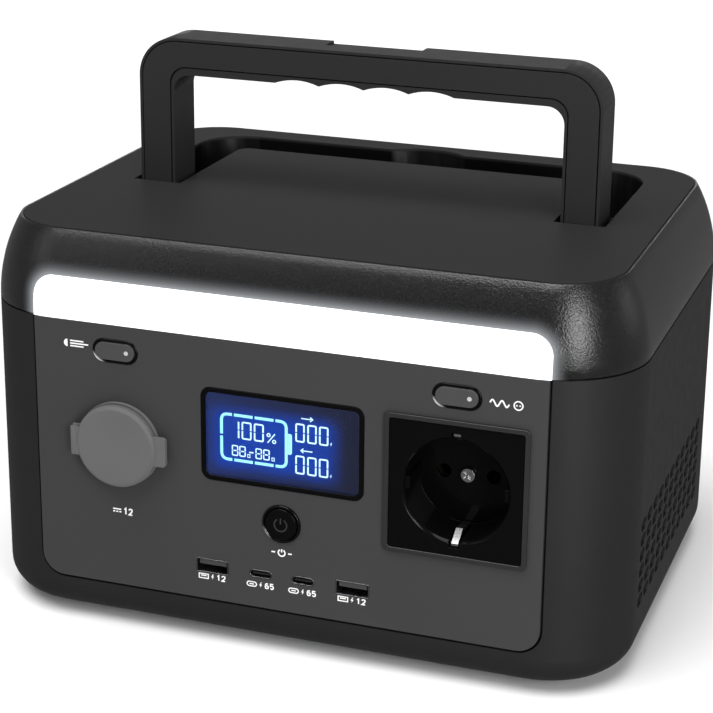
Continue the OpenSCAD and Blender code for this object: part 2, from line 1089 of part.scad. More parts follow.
module outlet_sleeves()
{
    color([0.8, 0.65, 0.3])
        for (s = [-1, 1])
            difference()
            {
                rod_y(outlet_x + s * 9.5, front + 20.1, front + 38.4, outlet_z, 7.9);
                rod_y(outlet_x + s * 9.5, front + 20, front + 36.5, outlet_z, 5.3);
            }
}

// ---------------------------------------------------------------- handle

// Front view of the handle, drawn in by g from every edge
module handle_face(g, low, foot)
{
    w = handle_w / 2 - g;
    r = handle_r - g;
    top = handle_top - g;
    inner = handle_w / 2 - leg_w + g;
    difference()
    {
        union()
        {
            translate([-w, foot])
                square([2 * w, top - r - foot]);
            translate([-w + r, foot])
                square([2 * w - 2 * r, top - foot]);
            for (s = [-1, 1])
                intersection()
                {
                    translate([s * (w - r), top - r])
                        circle(r = r);
                    translate([s * (w - r / 2) - r / 2, top - r])
                        square([r, r]);
                }
        }
        translate([-inner, foot - 1])
            square([2 * inner, low - 7 - foot + 1]);
        translate([-inner + 7, foot - 1])
            square([2 * inner - 14, low - foot + 1]);
        for (s = [-1, 1])
            intersection()
            {
                translate([s * (inner - 7), low - 7])
                    circle(r = 7);
                translate([s * (inner - 3.5) - 3.5, low - 7])
                    square([7, 7]);
            }
    }
}

screw_spots = [[-leg_x, pivot_z + 26], [leg_x, pivot_z + 26], [-48, handle_top - 6.6], [48, handle_top - 6.6]];

module handle_body()
{
    color([0.16, 0.16, 0.17])
        difference()
        {
            facing(0, -handle_y, 0, handle_t)
                handle_face(0, grip_low, pivot_z - heel_r);
            // round the leg ends about the pivot
            difference()
            {
                translate([-handle_w / 2 - 1, -handle_y - 1, pivot_z - heel_r - 1])
                    cube([handle_w + 2, pivot_front + 1, heel_r + 1]);
                rod_x(-handle_w / 2 - 2, handle_w / 2 + 2, pivot_y, pivot_z, 2 * pivot_front);
            }
            difference()
            {
                translate([-handle_w / 2 - 1, pivot_y, pivot_z - heel_r - 1])
                    cube([handle_w + 2, heel_r + 1, heel_r + 1]);
                rod_x(-handle_w / 2 - 2, handle_w / 2 + 2, pivot_y, pivot_z, 2 * heel_r);
            }
            // finger grooves under the grip
            for (i = [-1.5, -0.5, 0.5, 1.5])
                rod_y(i * 18.6, -handle_y - 1, -handle_y + handle_t + 1, grip_low + 1.7 - 25.8, 51.6);
            // bed for the front cover
            facing(0, -handle_y - 1, 0, 3)
                handle_face(1.1, grip_low + 2.8, pivot_z + 4);
            for (p = screw_spots)
            {
                rod_y(p[0], -handle_y, -handle_y + 10, p[1], 6.4);
                rod_y(p[0], -handle_y, -handle_y + handle_t + 1, p[1], 3.3);
                rod_y(p[0], -handle_y + handle_t - 2.2, -handle_y + handle_t + 1, p[1], 5.6);
            }
            // thumb rest along the top
            translate([-19.5, -handle_y + handle_t / 2, handle_top - 1.2])
                cube([39, handle_t, 2]);
            for (s = [-1, 1])
                rod_x(s * (pin_tip - 0.5), s * (handle_w / 2 + 1), pivot_y, pivot_z, pin_d + 2 * run);
        }
}

module handle_cover()
{
    color([0.2, 0.2, 0.21])
        difference()
        {
            union()
            {
                facing(0, -handle_y - 0.2, 0, 2.1)
                    handle_face(1.6, grip_low + 3.3, pivot_z + 4.2);
                for (p = screw_spots)
                    rod_y(p[0], -handle_y + 1.8, -handle_y + 9.8, p[1], 6);
            }
            for (p = screw_spots)
                rod_y(p[0], -handle_y + 2.4, -handle_y + 11, p[1], 2.5);
        }
}

module handle_screws()
{
    color([0.6, 0.6, 0.62])
        for (p = screw_spots)
            difference()
            {
                union()
                {
                    rod_y(p[0], -handle_y + handle_t - 2.2, -handle_y + handle_t - 0.4, p[1], 5.3);
                    rod_y(p[0], -handle_y + 4, -handle_y + handle_t - 2.1, p[1], 2.4);
                }
                translate([p[0], -handle_y + handle_t - 0.2, p[1]])
                    rotate([90, 0, 0])
                        cylinder(d = 2.6, h = 1.4, $fn = 6);
            }
}

module pivot_pins()
{
    color([0.7, 0.7, 0.72])
        for (s = [-1, 1])
            rod_x(s * pin_tip, s * pin_in, pivot_y, pivot_z, pin_d);
}

module pivot_washers()
{
    color([0.85, 0.85, 0.8])
        for (s = [-1, 1])
            difference()
            {
                rod_x(s * (handle_w / 2 + 0.2), s * (pocket_w / 2 - 0.1), pivot_y, pivot_z, 10.8);
                rod_x(s * (handle_w / 2 - 1), s * (pocket_w / 2 + 1), pivot_y, pivot_z, pin_d + 0.04);
            }
}

// ---------------------------------------------------------------- feet and screws

module feet()
{
    color([0.05, 0.05, 0.05])
        for (sx = [-1, 1], sy = [-1, 1])
            translate([sx * foot_x, sy * foot_y, 0])
                difference()
                {
                    cylinder(d = foot_d, h = foot_h + 1);
                    translate([0, 0, -1])
                        cylinder(d = 7, h = 2.4);
                    translate([0, 0, -1])
                        cylinder(d = 3.2, h = foot_h + 3);
                }
}

module foot_screws()
{
    color([0.6, 0.6, 0.62])
        for (sx = [-1, 1], sy = [-1, 1])
            translate([sx * foot_x, sy * foot_y, 0])
                difference()
                {
                    union()
                    {
                        translate([0, 0, 0.4])
                            cylinder(d = 5.6, h = 1);
                        translate([0, 0, 1.3])
                            cylinder(d = 2.8, h = foot_h + 4.5);
                    }
                    translate([0, 0, 0])
                        cylinder(d = 2.6, h = 1, $fn = 6);
                }
}

module case_screws()
{
    color([0.6, 0.6, 0.62])
        for (sx = [-1, 1], sy = [-1, 1])
            translate([sx * post_x, sy * post_y, seam_z])
                difference()
                {
                    union()
                    {
                        translate([0, 0, -17.5])
                            cylinder(d = 5.8, h = 2.5);
                        translate([0, 0, -15.1])
                            cylinder(d = 2.8, h = 28);
                    }
                    translate([0, 0, -18])
                        cylinder(d = 2.9, h = 2, $fn = 6);
                }
}

// ---------------------------------------------------------------- battery

module cell_spots()
{
    for (i = [0 : cell_nx - 1], j = [0 : cell_ny - 1])
        translate([(i - (cell_nx - 1) / 2) * cell_p, pack_y + (j - (cell_ny - 1) / 2) * cell_p, 0])
            children();
}

module battery_cells()
{
    color([0.1, 0.3, 0.6])
        cell_spots()
            translate([0, 0, cell_z])
                cylinder(d = cell_d, h = cell_h);
}

module battery_tray()
{
    color([0.15, 0.15, 0.15])
        difference()
        {
            translate([-tray_w / 2, pack_y - tray_d / 2, tray_z])
                cube([tray_w, tray_d, 12]);
            cell_spots()
                translate([0, 0, cell_z])
                    cylinder(d = cell_d + 0.4, h = 20);
        }
}

module battery_lid()
{
    color([0.15, 0.15, 0.15])
        difference()
        {
            translate([-tray_w / 2, pack_y - tray_d / 2, lid_z])
                cube([tray_w, tray_d, lid_top - lid_z]);
            cell_spots()
            {
                translate([0, 0, lid_z - 1])
                    cylinder(d = cell_d + 0.4, h = cell_z + cell_h - lid_z + 1.05);
                translate([0, 0, lid_z])
                    cylinder(d = 14, h = 20);
            }
        }
}

module bus_bars()
{
    color([0.75, 0.75, 0.72])
        for (i = [0 : cell_nx - 1])
        {
            x = (i - (cell_nx - 1) / 2) * cell_p;
            translate([x - 5, pack_y - cell_p - 8, lid_top + 0.05])
                cube([10, 2 * cell_p + 16, 0.4]);
            for (j = [-1, 0, 1])
                translate([x, pack_y + j * cell_p, cell_z + cell_h + 0.05])
                    cylinder(d = 8, h = lid_top - cell_z - cell_h + 0.1);
        }
}

module bms_board()
{
    color([0.05, 0.3, 0.12])
        difference()
        {
            union()
            {
                translate([-50, pack_y - 35, lid_top + 4])
                    cube([100, 70, 1.6]);
                for (x = [-32, -12, 8, 28])
                    translate([x, pack_y - 20, lid_top + 5.5])
                        cube([8, 10, 3]);
            }
            for (sx = [-1, 1], sy = [-1, 1])
                translate([sx * cell_p, pack_y + sy * 31, lid_top])
                    cylinder(d = 3, h = 10);
        }
    color([0.6, 0.6, 0.62])
        for (sx = [-1, 1], sy = [-1, 1])
            translate([sx * cell_p, pack_y + sy * 31, lid_top])
                cylinder(d = 5, h = 4);
}

module inverter_board()
{
    color([0.05, 0.3, 0.12])
    {
        translate([-66, pack_y - 48, board_z])
            cube([132, 96, 1.6]);
        for (sx = [-1, 1], sy = [-1, 1])
            translate([sx * 60, pack_y + sy * 43, lid_top])
                cylinder(d = 6, h = board_z - lid_top + eps);
    }
}

module heatsink()
{
    color([0.7, 0.7, 0.72])
    {
        translate([10, pack_y - 40, board_z + 1.6])
            cube([50, 40, 3]);
        for (i = [0 : 8])
            translate([10 + i * 6, pack_y - 40, board_z + 4.5])
                cube([2, 40, 15]);
    }
}

module transformer()
{
    color([0.2, 0.18, 0.14])
        translate([-34, pack_y - 18, board_z + 1.6])
            difference()
            {
                cylinder(d = 40, h = 16);
                translate([0, 0, -1])
                    cylinder(d = 16, h = 18);
            }
}

module capacitors()
{
    color([0.1, 0.1, 0.14])
        for (x = [-52, -34, -16, 2, 20])
            translate([x, pack_y + 30, board_z + 1.6])
                cylinder(d = 16, h = 21);
}

// ---------------------------------------------------------------- fans

module fan_frames()
{
    color([0.08, 0.08, 0.08])
        for (y = fan_ys)
            translate([0, y, vent_z])
            {
                difference()
                {
                    translate([fan_x, -fan_w / 2, -fan_w / 2])
                        cube([fan_t, fan_w, fan_w]);
                    rod_x(fan_x - 1, fan_x + fan_t + 1, 0, 0, 37.6);
                }
                // spider that carries the bearing
                for (a = [0, 120, 240])
                    rotate([a, 0, 0])
                        translate([fan_x + 0.4, -1, 7])
                            cube([1.4, 2, 12]);
                difference()
                {
                    rod_x(fan_x + 0.4, fan_x + 1.8, 0, 0, 17);
                    rod_x(fan_x, fan_x + 2, 0, 0, 1);
                }
                rod_x(fan_x + 1.7, fan_x + 7.5, 0, 0, 3);
            }
}

module fan_rotor(y)
{
    translate([0, y, vent_z])
    {
        difference()
        {
            rod_x(fan_x + 2.3, fan_x + 9.5, 0, 0, 18);
            rod_x(fan_x + 2, fan_x + 8, 0, 0, 3 + 2 * run);
        }
        for (i = [0 : 6])
            rotate([i * 360 / 7, 0, 0])
                translate([fan_x + 5.9, 0, 13.3])
                    rotate([0, 0, 38])
                        cube([9, 1, 9.2], center = true);
    }
}

module fan_rotor_a()
{
    color([0.12, 0.12, 0.12])
        fan_rotor(fan_ys[0]);
}

module fan_rotor_b()
{
    color([0.12, 0.12, 0.12])
        fan_rotor(fan_ys[1]);
}

// ---------------------------------------------------------------- charging inlet at the back

module inlet_jack()
{
    color([0.06, 0.06, 0.06])
        difference()
        {
            union()
            {
                rod_y(0, case_d / 2, case_d / 2 + 1.8, outlet_z, 21);
                rod_y(0, case_d / 2 - 14, case_d / 2 + 0.1, outlet_z, 16);
                rod_y(0, case_d / 2 + 1.7, case_d / 2 + stand_out, outlet_z, 14);
            }
            rod_y(0, case_d / 2 - 10, case_d / 2 + stand_out + 1, outlet_z, 8.2);
        }
}

module inlet_contact()
{
    color([0.8, 0.8, 0.8])
    {
        rod_y(0, case_d / 2 - 9.95, case_d / 2 - 1, outlet_z, 2.4);
        difference()
        {
            rod_y(0, case_d / 2 - 9.9, case_d / 2 - 2, outlet_z, 8);
            rod_y(0, case_d / 2 - 10, case_d / 2, outlet_z, 7.2);
        }
    }
}

lower_case();
upper_shell();
deck_plate();
front_panel();
light_lens();
light_board();
light_leds();
lcd_bezel();
lcd_window();
lcd_screen();
led_bezel();
ac_bezel();
power_bezel();
led_button();
led_indicator();
ac_button();
ac_indicator();
power_button();
dc_socket();
dc_contact();
dc_tether();
dc_cap();
outlet_frame();
outlet_insert();
outlet_clips();
outlet_screw();
outlet_sleeves();
usb_a1_shell();
usb_a1_tongue();
usb_a2_shell();
usb_a2_tongue();
usb_c1_shell();
usb_c1_tongue();
usb_c2_shell();
usb_c2_tongue();
front_board();
switches();
handle_body();
handle_cover();
handle_screws();
pivot_pins();
pivot_washers();
feet();
foot_screws();
case_screws();
battery_cells();
battery_tray();
battery_lid();
bus_bars();
bms_board();
inverter_board();
heatsink();
transformer();
capacitors();
fan_frames();
fan_rotor_a();
fan_rotor_b();
inlet_jack();
inlet_contact();
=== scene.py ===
"""Looks for the portable power station: materials, soft edges, printed marks, display and studio."""

import json
import math

import bpy
from mathutils import Matrix, Vector


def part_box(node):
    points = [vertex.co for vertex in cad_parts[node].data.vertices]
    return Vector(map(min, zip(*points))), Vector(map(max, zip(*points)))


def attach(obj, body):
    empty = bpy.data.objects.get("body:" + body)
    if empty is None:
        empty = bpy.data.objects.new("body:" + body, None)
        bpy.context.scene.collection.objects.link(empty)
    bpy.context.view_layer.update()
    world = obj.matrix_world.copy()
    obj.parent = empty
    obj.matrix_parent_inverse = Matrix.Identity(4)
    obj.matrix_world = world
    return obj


MM = 0.001

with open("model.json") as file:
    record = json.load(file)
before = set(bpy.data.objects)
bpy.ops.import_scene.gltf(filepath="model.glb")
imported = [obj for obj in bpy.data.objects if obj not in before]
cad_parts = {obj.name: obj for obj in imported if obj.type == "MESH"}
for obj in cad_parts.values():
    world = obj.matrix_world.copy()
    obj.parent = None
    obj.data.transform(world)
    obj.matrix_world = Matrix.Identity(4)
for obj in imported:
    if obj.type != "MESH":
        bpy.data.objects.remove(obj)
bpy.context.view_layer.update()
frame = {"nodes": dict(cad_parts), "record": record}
nodes = frame["nodes"]

# ------------------------------------------------------------------ node helpers


class Tree:
    """A material's node tree with short calls for the nodes used here."""

    def __init__(self, name):
        self.material = bpy.data.materials.new(name)
        self.material.use_nodes = True
        self.nt = self.material.node_tree
        self.shader = self.nt.nodes["Principled BSDF"]
        self.coords = self.add("ShaderNodeTexCoord").outputs["Object"]

    def add(self, kind, **settings):
        node = self.nt.nodes.new(kind)
        for key, value in settings.items():
            setattr(node, key, value)
        return node

    def link(self, source, target):
        self.nt.links.new(source, target)

    def put(self, socket, value):
        """Links a socket, or sets a plain value on it."""
        if isinstance(value, bpy.types.NodeSocket):
            self.link(value, socket)
        else:
            socket.default_value = value

    def noise(self, scale, detail=2.0, stretch=None):
        node = self.add("ShaderNodeTexNoise")
        node.inputs["Scale"].default_value = scale
        node.inputs["Detail"].default_value = detail
        node.inputs["Roughness"].default_value = 0.5
        source = self.coords
        if stretch:
            mapping = self.add("ShaderNodeMapping")
            mapping.inputs["Scale"].default_value = stretch
            self.link(source, mapping.inputs["Vector"])
            source = mapping.outputs["Vector"]
        self.link(source, node.inputs["Vector"])
        return node.outputs["Fac"]

    def cells(self, scale):
        node = self.add("ShaderNodeTexVoronoi", feature="F1")
        node.inputs["Scale"].default_value = scale
        self.link(self.coords, node.inputs["Vector"])
        return node.outputs["Distance"]

    def span(self, value, from_lo, from_hi, to_lo, to_hi, smooth=False):
        node = self.add("ShaderNodeMapRange")
        if smooth:
            node.interpolation_type = "SMOOTHSTEP"
        ends = {"From Min": from_lo, "From Max": from_hi, "To Min": to_lo, "To Max": to_hi}
        for key, end in ends.items():
            node.inputs[key].default_value = end
        self.link(value, node.inputs["Value"])
        return node.outputs["Result"]

    def math(self, operation, a, b=None, clamp=False):
        node = self.add("ShaderNodeMath", operation=operation, use_clamp=clamp)
        self.put(node.inputs[0], a)
        if b is not None:
            self.put(node.inputs[1], b)
        return node.outputs[0]

    def mix(self, factor, a, b):
        node = self.add("ShaderNodeMix", data_type="RGBA")
        self.put(node.inputs["Factor"], factor)
        self.put(node.inputs["A"], a)
        self.put(node.inputs["B"], b)
        return node.outputs["Result"]

    def axes(self, source=None):
        """The x, y and z of a vector, or of the place on the object."""
        node = self.add("ShaderNodeSeparateXYZ")
        self.link(self.coords if source is None else source, node.inputs[0])
        return node.outputs

    def bump(self, height, distance):
        node = self.add("ShaderNodeBump")
        node.inputs["Distance"].default_value = distance
        node.inputs["Strength"].default_value = 1.0
        self.link(height, node.inputs["Height"])
        self.link(node.outputs["Normal"], self.shader.inputs["Normal"])


def rgba(colour, gain=1.0):
    """A colour with its alpha, made lighter or darker by the gain."""
    return tuple(min(1.0, c * gain) for c in colour) + (1.0,)


def surface(name, colour, rough, mottle=0.08, patch=30.0, grain=0.0, grain_size=0.5, metal=0.0,
            specular=0.5, coat=0.0, stretch=None, rough_spread=0.05, sheen=0.0):
    """A finish with patchy colour, uneven gloss and a moulded or brushed grain (millimetres)."""
    t = Tree(name)
    s = t.shader
    low, high = rgba(colour, 1 - mottle), rgba(colour, 1 + mottle)
    blotch = t.noise(patch, 3.0)
    t.link(t.mix(t.span(blotch, 0.3, 0.7, 0.0, 1.0), low, high), s.inputs["Base Color"])
    gloss = t.noise(patch * 6, 3.0)
    smoothest = max(0.02, rough - rough_spread)
    t.link(t.span(gloss, 0.3, 0.7, smoothest, rough + rough_spread), s.inputs["Roughness"])
    s.inputs["Metallic"].default_value = metal
    s.inputs["Specular IOR Level"].default_value = specular
    if coat:
        s.inputs["Coat Weight"].default_value = coat
        s.inputs["Coat Roughness"].default_value = 0.05
    if sheen:
        s.inputs["Sheen Weight"].default_value = sheen
        s.inputs["Sheen Roughness"].default_value = 0.5
    if grain:
        t.bump(t.noise(1.0 / (grain_size * MM), 2.0, stretch), grain * MM)
    return t


# ------------------------------------------------------------------ materials

# metres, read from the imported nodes; the light bar stands on the seam
SEAM_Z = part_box("light_lens")[0].z
DECK_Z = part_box("deck_plate")[1].z
FRONT_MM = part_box("front_panel")[0].y / MM

# the light bar's window in the shoulder: half its width, its height and its upper corners
WINDOW_HALF = 0.101
WINDOW_HIGH = 0.0162
WINDOW_ROUND = 0.008
# how far from the corners' centres the painted glow on the shoulder starts to fade and ends
PAINTED_GLOW_FULL, PAINTED_GLOW_END = 0.0078, 0.0145


def shoulder_material():
    """Moulded black with a speckled grain; a painted glow, given off by the shoulder itself, falls off
    around the light bar's window.
    """
    t = surface("shell_black", (0.0085, 0.0085, 0.009), 0.2, mottle=0.04, specular=0.45,
                rough_spread=0.02)
    speck = t.math("ADD", t.math("MULTIPLY", t.cells(1500.0), 0.6), t.noise(1900.0, 3.0))
    t.bump(speck, 0.1 * MM)
    fleck = t.span(t.noise(2100.0, 2.0), 0.42, 0.6, 0.0, 1.0)
    dark, light = (0.005, 0.005, 0.0055, 1.0), (0.0125, 0.0125, 0.013, 1.0)
    t.link(t.mix(fleck, dark, light), t.shader.inputs["Base Color"])
    x, y, z = t.axes()
    # distance from the centres of the window's upper corners and the lines between them
    corner_x, corner_z = WINDOW_HALF - WINDOW_ROUND, SEAM_Z + WINDOW_HIGH - WINDOW_ROUND
    dx = t.math("MAXIMUM", t.math("SUBTRACT", t.math("ABSOLUTE", x), corner_x), 0.0)
    dz = t.math("MAXIMUM", t.math("SUBTRACT", z, corner_z), 0.0)
    away = t.math("SQRT", t.math("ADD", t.math("MULTIPLY", dx, dx), t.math("MULTIPLY", dz, dz)))
    near = t.math("POWER", t.span(away, PAINTED_GLOW_FULL, PAINTED_GLOW_END, 1.0, 0.0), 2.6)
    # the painted glow stays on the front of the shoulder
    front = t.span(y, -0.085, -0.08, 1.0, 0.0)
    # painted light: the shoulder itself emits a glow that fades with distance from the light bar's
    # window
    t.shader.inputs["Emission Color"].default_value = (0.92, 0.96, 1.0, 1.0)
    glow = t.math("MULTIPLY", t.math("MULTIPLY", near, front), 0.42)
    t.link(glow, t.shader.inputs["Emission Strength"])
    return t


def lens_material():
    """Milky plastic lit from behind, a little dimmer along its lower edge."""
    t = surface("lens_white", (0.9, 0.92, 0.95), 0.35, mottle=0.02, specular=0.3)
    t.shader.inputs["Emission Color"].default_value = (0.97, 0.985, 1.0, 1.0)
    z = t.axes()[2]
    edge = t.span(z, SEAM_Z, SEAM_Z + 0.0012, 0.0, 1.0, smooth=True)
    t.link(t.span(edge, 0.0, 1.0, 0.55, 0.7), t.shader.inputs["Emission Strength"])
    t.bump(t.noise(900.0, 2.0), 0.02 * MM)
    return t


def screen_material():
    """Blue backlight, brightest behind the battery symbol, fading to violet-black at the rim."""
    t = surface("display_lit", (0.002, 0.003, 0.008), 0.45, mottle=0.05, specular=0.05)
    lo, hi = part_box("lcd_screen")
    mid_x, mid_z = (lo.x + hi.x) / 2, (lo.z + hi.z) / 2
    x, _, z = t.axes()
    # the wash is centred a little left of the screen's middle and below it
    ax = t.math("ABSOLUTE", t.math("SUBTRACT", x, mid_x - 0.0035))
    az = t.math("ABSOLUTE", t.math("SUBTRACT", z, mid_z - 0.0012))
    across = t.span(ax, 0.0185, 0.029, 1.0, 0.0, smooth=True)
    upright = t.span(az, 0.0075, 0.0155, 1.0, 0.0, smooth=True)
    wash = t.math("MULTIPLY", across, upright)
    cloud = t.span(t.noise(85.0, 3.0), 0.25, 0.75, 0.72, 1.12)
    wash = t.math("MULTIPLY", wash, cloud, clamp=True)
    left_rim, right_rim = (0.013, 0.023, 0.095, 1.0), (0.008, 0.010, 0.027, 1.0)
    rim = t.mix(t.span(x, lo.x, hi.x, 0.0, 1.0), left_rim, right_rim)
    tint = t.mix(wash, rim, (0.004, 0.05, 0.42, 1.0))
    t.link(tint, t.shader.inputs["Emission Color"])
    t.shader.inputs["Emission Strength"].default_value = 1.0
    return t


def lit_mark_material(name, colour, strength):
    """A mark or lamp that gives light, slightly uneven."""
    t = surface(name, (0.1, 0.3, 0.4), 0.4, mottle=0.03)
    glow = t.mix(t.span(t.noise(160.0, 2.0), 0.3, 0.7, 0.0, 1.0), rgba(colour, 0.9), rgba(colour, 1.0))
    t.link(glow, t.shader.inputs["Emission Color"])
    t.shader.inputs["Emission Strength"].default_value = strength
    return t


def glass_material():
    """Clear cover glass; its low index keeps reflections of the studio faint."""
    t = surface("display_glass", (0.97, 0.98, 1.0), 0.04, mottle=0.01, rough_spread=0.015)
    t.shader.inputs["Transmission Weight"].default_value = 1.0
    t.shader.inputs["IOR"].default_value = 1.13
    return t


def ring_material():
    """Dark chrome with a painted highlight in bright chrome over the lower left of each ring."""
    dark = (0.03, 0.03, 0.031)
    t = surface("bright_ring", dark, 0.15, mottle=0.04, metal=1.0, grain=0.004, grain_size=0.8)
    # from 0 to 1 across each ring's own box, whichever ring it is
    x, _, z = t.axes(t.add("ShaderNodeTexCoord").outputs["Generated"])
    # painted highlight: the lower left of each ring gets a bright colour in place of reflected light
    left = t.math("MULTIPLY", t.math("SUBTRACT", 0.5, x), 0.82)
    low = t.math("MULTIPLY", t.math("SUBTRACT", 0.5, z), 0.57)
    painted_highlight_mask = t.span(t.math("ADD", left, low), 0.34, 0.45, 0.0, 1.0, smooth=True)
    # the painted highlight's colour, unevenly bright
    patch = t.mix(t.noise(400.0, 2.0), (0.5, 0.5, 0.52, 1.0), (0.85, 0.85, 0.87, 1.0))
    t.link(t.mix(painted_highlight_mask, rgba(dark), patch), t.shader.inputs["Base Color"])
    t.link(t.span(painted_highlight_mask, 0.0, 1.0, 1.0, 0.25), t.shader.inputs["Metallic"])
    return t


def deck_material():
    """Matte deck; the handle's pocket under its rim has painted shade, near black, and a smoother
    finish.
    """
    t = surface("deck_black", (0.0185, 0.0185, 0.019), 0.66, mottle=0.02, grain=0.022, grain_size=0.3,
                specular=0.16, rough_spread=0.015)
    z = t.axes()[2]
    # painted shade: the pocket under the deck's rim is made near black
    painted_pocket_shade = t.span(z, DECK_Z - 0.0016, DECK_Z - 0.0004, 1.0, 0.0, smooth=True)
    flat = t.mix(t.noise(30.0, 3.0), (0.018, 0.018, 0.0185, 1.0), (0.019, 0.019, 0.0195, 1.0))
    t.link(t.mix(painted_pocket_shade, flat, (0.0025, 0.0025, 0.0027, 1.0)), t.shader.inputs["Base Color"])
    t.link(t.span(painted_pocket_shade, 0.0, 1.0, 0.66, 0.38), t.shader.inputs["Roughness"])
    return t


def board_material():
    """Green solder mask with faint copper runs under it."""
    t = surface("board_green", (0.012, 0.10, 0.045), 0.35, mottle=0.15, specular=0.5)
    runs = t.noise(500.0, 1.0, stretch=(0.15, 1.0, 1.0))
    t.bump(t.span(runs, 0.48, 0.52, 0.0, 1.0), 0.03 * MM)
    return t


def core_material():
    """Tape wound round a ring core."""
    t = surface("transformer_core", (0.16, 0.09, 0.03), 0.5, mottle=0.2)
    z = t.axes()[2]
    t.bump(t.math("FRACT", t.math("MULTIPLY", z, 700.0)), 0.15 * MM)
    return t


# colour, roughness, then whatever else differs from a plain moulded finish
FINISHES = {
    "case_black": ((0.0115, 0.0115, 0.0121), 0.5, dict(
        mottle=0.04, grain=0.035, grain_size=0.45, specular=0.3, rough_spread=0.03)),
    "panel_grey": ((0.037, 0.037, 0.0382), 0.56, dict(
        mottle=0.02, grain=0.018, grain_size=0.3, specular=0.2, rough_spread=0.02)),
    "board_white": ((0.75, 0.75, 0.72), 0.4, dict(grain=0.02, grain_size=1.0)),
    "gloss_black": ((0.0022, 0.0022, 0.0025), 0.16, dict(
        mottle=0.1, rough_spread=0.03, grain=0.004, grain_size=2.0, specular=0.09)),
    "key_grey": ((0.046, 0.046, 0.047), 0.44, dict(mottle=0.05, grain=0.012, grain_size=0.25)),
    "indicator_white": ((0.42, 0.42, 0.43), 0.3, dict(mottle=0.06)),
    "plated_steel": ((0.3, 0.3, 0.315), 0.28, dict(
        mottle=0.08, metal=1.0, grain=0.006, grain_size=0.6, stretch=(0.15, 1.0, 1.0))),
    "cap_rubber": ((0.092, 0.092, 0.094), 0.62, dict(
        mottle=0.05, grain=0.02, grain_size=0.35, specular=0.35, sheen=0.08)),
    "bright_clip": ((0.45, 0.45, 0.46), 0.27, dict(mottle=0.04, metal=1.0, grain=0.01, grain_size=0.9)),
    "brass_contact": ((0.16, 0.11, 0.05), 0.35, dict(
        mottle=0.1, metal=1.0, grain=0.008, grain_size=0.7)),
    "tongue_white": ((0.045, 0.045, 0.046), 0.4, dict(grain=0.01, grain_size=0.4)),
    "tongue_black": ((0.012, 0.012, 0.012), 0.42, dict(grain=0.01, grain_size=0.4)),
    "frame_satin": ((0.018, 0.018, 0.0185), 0.22, dict(mottle=0.05, grain=0.004, grain_size=0.6)),
    "handle_black": ((0.0185, 0.0185, 0.019), 0.44, dict(
        mottle=0.03, grain=0.016, grain_size=0.3, specular=0.3, rough_spread=0.02)),
    "screw_steel": ((0.45, 0.45, 0.47), 0.3, dict(mottle=0.1, metal=1.0, grain=0.01)),
    "washer_nylon": ((0.62, 0.61, 0.56), 0.45, dict(grain=0.01)),
    "foot_rubber": ((0.012, 0.012, 0.012), 0.75, dict(
        mottle=0.15, grain=0.04, grain_size=0.6, sheen=0.1)),
    "cell_wrap": ((0.03, 0.12, 0.42), 0.3, dict(mottle=0.1, grain=0.01, grain_size=3.0, coat=0.4)),
    "tray_black": ((0.015, 0.015, 0.015), 0.5, dict(grain=0.03)),
    "heatsink_alu": ((0.68, 0.68, 0.7), 0.35, dict(metal=1.0, grain=0.02, stretch=(1.0, 0.1, 1.0))),
    "cap_can": ((0.012, 0.012, 0.03), 0.25, dict(mottle=0.1, grain=0.01, grain_size=1.5, coat=0.3)),
    "rotor_black": ((0.015, 0.015, 0.015), 0.4, dict(grain=0.015)),
}
MATERIALS = {name: surface(name, colour, rough, **rest)
             for name, (colour, rough, rest) in FINISHES.items()}
MATERIALS.update({
    "shell_black": shoulder_material(),
    "deck_black": deck_material(),
    "lens_white": lens_material(),
    "led_lit": lit_mark_material("led_lit", (1.0, 0.98, 0.9), 3.0),
    "display_glass": glass_material(),
    "display_lit": screen_material(),
    "bright_ring": ring_material(),
    "board_green": board_material(),
    "transformer_core": core_material(),
})
FINE_GRAIN = dict(grain=0.006, grain_size=0.2)
PRINT_WHITE = surface("print_white", (0.78, 0.78, 0.77), 0.45, mottle=0.06, **FINE_GRAIN)
PRINT_GREY = surface("print_grey", (0.022, 0.022, 0.023), 0.35, mottle=0.08, **FINE_GRAIN)
LIT_CYAN = lit_mark_material("lit_cyan", (0.34, 0.85, 1.0), 1.0)
LIT_WHITE = lit_mark_material("lit_white", (0.72, 0.93, 1.0), 1.0)

slot_of = {part["node"]: part["material_slot"] for part in frame["record"]["subparts"]}
# nodes that look different from the other nodes of their slot
FINISH_OF_NODE = {"outlet_frame": "frame_satin", "led_bezel": "bright_ring", "ac_bezel": "bright_ring"}
for name, obj in nodes.items():
    finish = FINISH_OF_NODE.get(name, slot_of[name])
    for material_slot in obj.material_slots:
        material_slot.material = MATERIALS[finish].material

# ------------------------------------------------------------------ soft edges on the CAD nodes


def soften(obj, width):
    """Rounds a piece's sharp edges by a width in millimetres."""
    weld = obj.modifiers.new("weld", "WELD")
    weld.merge_threshold = 0.004 * MM
    flat = obj.modifiers.new("flat", "DECIMATE")
    flat.decimate_type = "DISSOLVE"
    flat.angle_limit = math.radians(0.3)
    bevel = obj.modifiers.new("soft_edges", "BEVEL")
    bevel.width = width * MM
    bevel.segments = 2
    bevel.limit_method = "ANGLE"
    bevel.angle_limit = math.radians(32.0)
    bevel.use_clamp_overlap = True
    bevel.harden_normals = True


